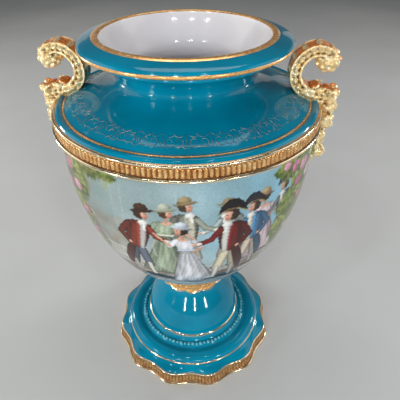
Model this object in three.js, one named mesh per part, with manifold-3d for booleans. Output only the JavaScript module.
// Mantel urn: a glazed, hollow porcelain vessel on a bolted-on pedestal foot, with two gilded
// C-scroll handles luted to its shoulder. Millimetres, +Z up, standing on z = 0, front towards -Y.
import * as THREE from 'three';
import { mergeVertices } from 'three/addons/utils/BufferGeometryUtils.js';
import Module from 'manifold-3d';

// ---------------------------------------------------------------- driving dimensions
const bodySides = 40; // facets round the vessel
const footSides = 48; // facets round the foot, four to each of its scallops
const gap = 0.3; // clearance between pieces that touch

const rim = { z: 329, bandInner: 61.3, bandOuter: 66, edge: 77.6, edgeZ: 322.4 };
const neck = { radius: 52.2, z: 300.7 };
const shoulder = { radius: 94.3, z: 280.4 }; // thin line where the shoulder ends
const band = { topRadius: 102.9, topZ: 278.3, beadRadius: 104.4, beadZ: 269 };
const bowl = { radius: 100.2, z: 248.5, depth: 150.3 }; // half an ellipse below its widest line
const bowlInside = { radius: 94.4, depth: 136 };
const boss = { radius: 25, z: 97.4 }; // flat disc under the bowl that sits on the foot

const foot = { topZ: boss.z - gap, domeRadius: 48.3, domeZ: 37.3, stepRadius: 71.6, stepZ: 21.3 };
const flange = { topRadius: 81.1, topZ: 14.9, baseRadius: 84.6, ringInner: 74 };
const scallops = { count: 12, depth: 2, turn: 2.4 }; // turn in degrees: a valley near the front
const calyx = { radius: 35.2, z: 91.2, lobeDepth: 3.2, turn: 6.5 }; // gilt collar of twelve lobes

const strap = { width: 17.5, thickness: 9.2, bevel: 2 };
const volute = { r: 103, z: 309.6, radius: 9.5, halfWidth: 10 };

// ---------------------------------------------------------------- profile helpers
const point = (r, z) => new THREE.Vector2(r, z);

// Points on an ellipse arc; angles in degrees, 0 pointing outwards and 90 up.
function arc(r, z, radiusR, radiusZ, from, to, steps) {
  const points = [];
  for (let i = 0; i <= steps; i += 1) {
    const angle = THREE.MathUtils.degToRad(from + ((to - from) * i) / steps);
    points.push(point(r + radiusR * Math.cos(angle), z + radiusZ * Math.sin(angle)));
  }
  return points;
}

// Points on a smooth curve through a few places.
function smooth(places, steps) {
  return new THREE.SplineCurve(places.map(([r, z]) => point(r, z))).getPoints(steps);
}

// The profile moved outwards along its own normals.
function offsetProfile(profile, distance) {
  return profile.map((here, i) => {
    const before = profile[Math.max(i - 1, 0)];
    const after = profile[Math.min(i + 1, profile.length - 1)];
    const along = after.clone().sub(before).normalize();
    const moved = point(here.x + along.y * distance, here.y - along.x * distance);
    return here.x < 1e-6 ? point(0, moved.y) : moved;
  });
}

// A solid of revolution about Z.
function turned(profile, sides) {
  return new THREE.LatheGeometry(profile, sides).rotateX(Math.PI / 2);
}

// ---------------------------------------------------------------- vessel
// Outside, from the flat boss under the bowl up to the crest of the gilt lip.
function bodyOutside() {
  const bossAngle = THREE.MathUtils.radToDeg(Math.acos((boss.radius + 1.5) / bowl.radius));
  return [
    point(0, boss.z),
    point(boss.radius, boss.z),
    ...arc(0, bowl.z, bowl.radius, bowl.depth, -bossAngle, 3, 7),
    point(100.2, 265.4),
    ...arc(band.beadRadius - 1.4, band.beadZ - 0.4, 1.4, 1.6, -60, 70, 1),
    point(101.8, 271),
    point(band.topRadius - 0.6, band.topZ - 1.2),
    point(band.topRadius, band.topZ + 0.2),
    point(100.9, 279.2),
    ...arc(97.4, 278.6, 3, 3, 30, 145, 2),
    ...smooth([
      [shoulder.radius, shoulder.z], [87.7, 284], [79.3, 287.3], [71, 290], [62.6, 292.4],
      [56.4, 295.2], [53.2, 298], [neck.radius, neck.z], [52.9, 304], [55.3, 308], [60.6, 312.6],
      [67, 316],
    ], 8),
    point(73.4, 319.2),
    ...arc(rim.edge - 1.9, rim.edgeZ, 1.9, 1.9, -60, 35, 2),
    point(75.6, 325),
    point(71, 327.3),
    point(rim.bandOuter - 1.6, rim.z - 0.3),
  ];
}

// Inside, from the lip down the throat and round the hollow bowl to its floor.
function bodyInside() {
  return [
    point(rim.bandInner + 1.4, rim.z),
    point(rim.bandInner, rim.z - 0.9),
    ...smooth([
      [60.2, 325.6], [55, 316.5], [50.2, 310], [47.4, 305], [46.7, 300.7], [47.9, 295.6],
      [52, 291.3], [60, 287.2], [70, 284], [80, 280], [87.5, 275], [92.5, 266.5],
    ], 8),
    ...arc(0, bowl.z, bowlInside.radius, bowlInside.depth, 2, -90, 8),
  ];
}

function bodyGeometry() {
  const profile = [...bodyOutside(), ...bodyInside()];
  profile[profile.length - 1].x = 0;
  return turned(profile, bodySides);
}

// ---------------------------------------------------------------- foot
// The open hollow under the foot, from its ceiling out to the ring it stands on.
function footInside() {
  return [
    point(0, 86),
    point(15, 85),
    ...smooth([[23.5, 78.5], [31, 64], [36.6, 49], [40.5, 33.5], [50.5, 25.6], [62, 18.4], [69.6, 9]], 5),
    point(flange.ringInner, 0),
  ];
}

// Outside, from the scalloped flange at the bottom up to the flat top under the bowl.
function footOutside() {
  return [
    point(flange.baseRadius - 0.8, 0),
    point(flange.baseRadius, 1.6),
    point(flange.topRadius + 0.4, flange.topZ - 1.4),
    point(flange.topRadius - 0.8, flange.topZ),
    point(foot.stepRadius + 0.6, foot.stepZ - 0.6),
    ...arc(62.6, foot.stepZ, 9, 6.6, 5, 82, 3),
    point(58.6, 27.3),
    point(55, 29.4),
    point(51.4, 31.4),
    ...smooth([
      [foot.domeRadius, foot.domeZ], [46.9, 45], [43.8, 54], [39.6, 63], [35.4, 72], [31.5, 86],
    ], 5),
    point(calyx.radius - 1, calyx.z - 3.6),
    point(calyx.radius, calyx.z - 1.6),
    point(calyx.radius - 3, calyx.z + 2),
    point(boss.radius + 1.5, foot.topZ),
    point(0, foot.topZ),
  ];
}

// How far the foot is pushed out at a place by the scallops of its flange or its collar.
function lobeHeight(r, z, angle) {
  const wave = (turn) => Math.cos(scallops.count * (angle - THREE.MathUtils.degToRad(turn)));
  if (r > flange.topRadius - 1) return -scallops.depth * wave(scallops.turn);
  const onCalyx = Math.abs(z - calyx.z + 2) < 2 && r > calyx.radius - 2;
  return onCalyx ? calyx.lobeDepth * wave(calyx.turn) : 0;
}

function footGeometry() {
  const geometry = turned([...footInside(), ...footOutside()], footSides);
  const places = geometry.attributes.position;
  for (let i = 0; i < places.count; i += 1) {
    const [x, y, z] = [places.getX(i), places.getY(i), places.getZ(i)];
    const r = Math.hypot(x, y);
    const grown = r > 1 ? 1 + lobeHeight(r, z, Math.atan2(x, -y)) / r : 1;
    places.setXYZ(i, x * grown, y * grown, z);
  }
  return geometry;
}

// ---------------------------------------------------------------- handles
// Middle line of the C-scroll in its own plane, from the shoulder's edge round into the volute.
const scroll = new THREE.SplineCurve([
  point(104, 283), point(95, 284.8), point(87, 288.8), point(81.7, 295), point(80.6, 302),
  point(82.8, 309.4), point(88.2, 315), point(95.2, 317.3), point(101.6, 315.8),
  point(106, 311.4),
]);

// Leaf lobes and knobs: place in the handle's plane, half sizes along r and z, and half width.
const leafLobes = [
  { r: 98.5, z: 287.6, sizeR: 6.6, sizeZ: 4.4, half: 9.5 },
  { r: 107.4, z: 282.2, sizeR: 7.2, sizeZ: 6.8, half: 11.5 },
  { r: 107.4, z: 275.6, sizeR: 8.6, sizeZ: 5.6, half: 10.5 },
  { r: 107.4, z: 264, sizeR: 8.2, sizeZ: 9.2, half: 11.5 },
  { r: 104.6, z: 250.6, sizeR: 6.6, sizeZ: 8.6, half: 10 },
  { r: 103.6, z: 242, sizeR: 5, sizeZ: 8.6, half: 8 },
  { r: 107.6, z: 235, sizeR: 5.8, sizeZ: 5.4, half: 7 },
  { r: 101.8, z: 228, sizeR: 4.2, sizeZ: 8.6, half: 5 },
];

// The strap's outline: its middle line widened to both sides, thicker towards the shoulder.
function strapShape() {
  const steps = 15;
  const outer = [];
  const inner = [];
  for (let i = 0; i <= steps; i += 1) {
    const t = i / steps;
    const here = scroll.getPoint(t);
    const along = scroll.getTangent(t);
    const half = (strap.thickness / 2) * (1 + 0.12 * (1 - t) ** 3 - 0.25 * t ** 4);
    outer.push(point(here.x - along.y * half, here.y + along.x * half));
    inner.push(point(here.x + along.y * half, here.y - along.x * half));
  }
  return new THREE.Shape([...outer, ...inner.reverse()]);
}

function strapGeometry() {
  const depth = strap.width - 2 * strap.bevel;
  const geometry = new THREE.ExtrudeGeometry(strapShape(), {
    depth,
    bevelThickness: strap.bevel,
    bevelSize: strap.bevel * 0.6,
    bevelOffset: -strap.bevel * 0.6,
    bevelSegments: 1,
  });
  return geometry.rotateX(Math.PI / 2).translate(0, depth / 2, 0);
}

// A rounded lobe: a sphere stretched to its half sizes, with its poles to the two sides.
function lobeGeometry({ r, z, sizeR, sizeZ, half }) {
  return new THREE.SphereGeometry(1, 9, 5).scale(sizeR, half, sizeZ).translate(r, 0, z);
}

const wasm = await Module();
wasm.setup();

function toSolid(geometry) {
  const bare = geometry.clone();
  bare.deleteAttribute('normal');
  bare.deleteAttribute('uv');
  const merged = mergeVertices(bare, 1e-4);
  return new wasm.Manifold(new wasm.Mesh({
    numProp: 3,
    vertProperties: new Float32Array(merged.attributes.position.array),
    triVerts: new Uint32Array(merged.index.array),
  }));
}

function toGeometry(solid) {
  const mesh = solid.getMesh();
  const geometry = new THREE.BufferGeometry();
  geometry.setAttribute('position', new THREE.BufferAttribute(mesh.vertProperties, 3));
  geometry.setIndex(new THREE.BufferAttribute(mesh.triVerts, 1));
  geometry.computeVertexNormals();
  return geometry;
}

// One casting: strap, volute and leaf lobes joined, then hollowed to sit on the vessel's wall.
function handleGeometry() {
  const { r, z, radius, halfWidth } = volute;
  const knob = { r, z, sizeR: radius, sizeZ: radius, half: halfWidth };
  let casting = toSolid(strapGeometry());
  for (const lobe of [knob, ...leafLobes]) casting = casting.add(toSolid(lobeGeometry(lobe)));
  const seat = turned([...offsetProfile(bodyOutside(), gap), point(0, rim.z + 1)], bodySides);
  return toGeometry(casting.subtract(toSolid(seat)));
}

// ---------------------------------------------------------------- materials and assembly
const glazed = new THREE.MeshStandardMaterial({ color: '#0a7f9e', roughness: 0.08, metalness: 0 });
const gilt = new THREE.MeshStandardMaterial({ color: '#d9a657', roughness: 0.22, metalness: 1 });

function piece(name, geometry, material) {
  const mesh = new THREE.Mesh(geometry, material);
  mesh.name = name;
  return mesh;
}

const urn = new THREE.Group();
urn.add(piece('urn_body', bodyGeometry(), glazed));
urn.add(piece('foot', footGeometry(), glazed.clone()));

const handle = handleGeometry();
urn.add(piece('handle_right', handle, gilt));
const handleLeft = piece('handle_left', handle, gilt.clone());
handleLeft.rotation.z = Math.PI;
urn.add(handleLeft);

export default urn;
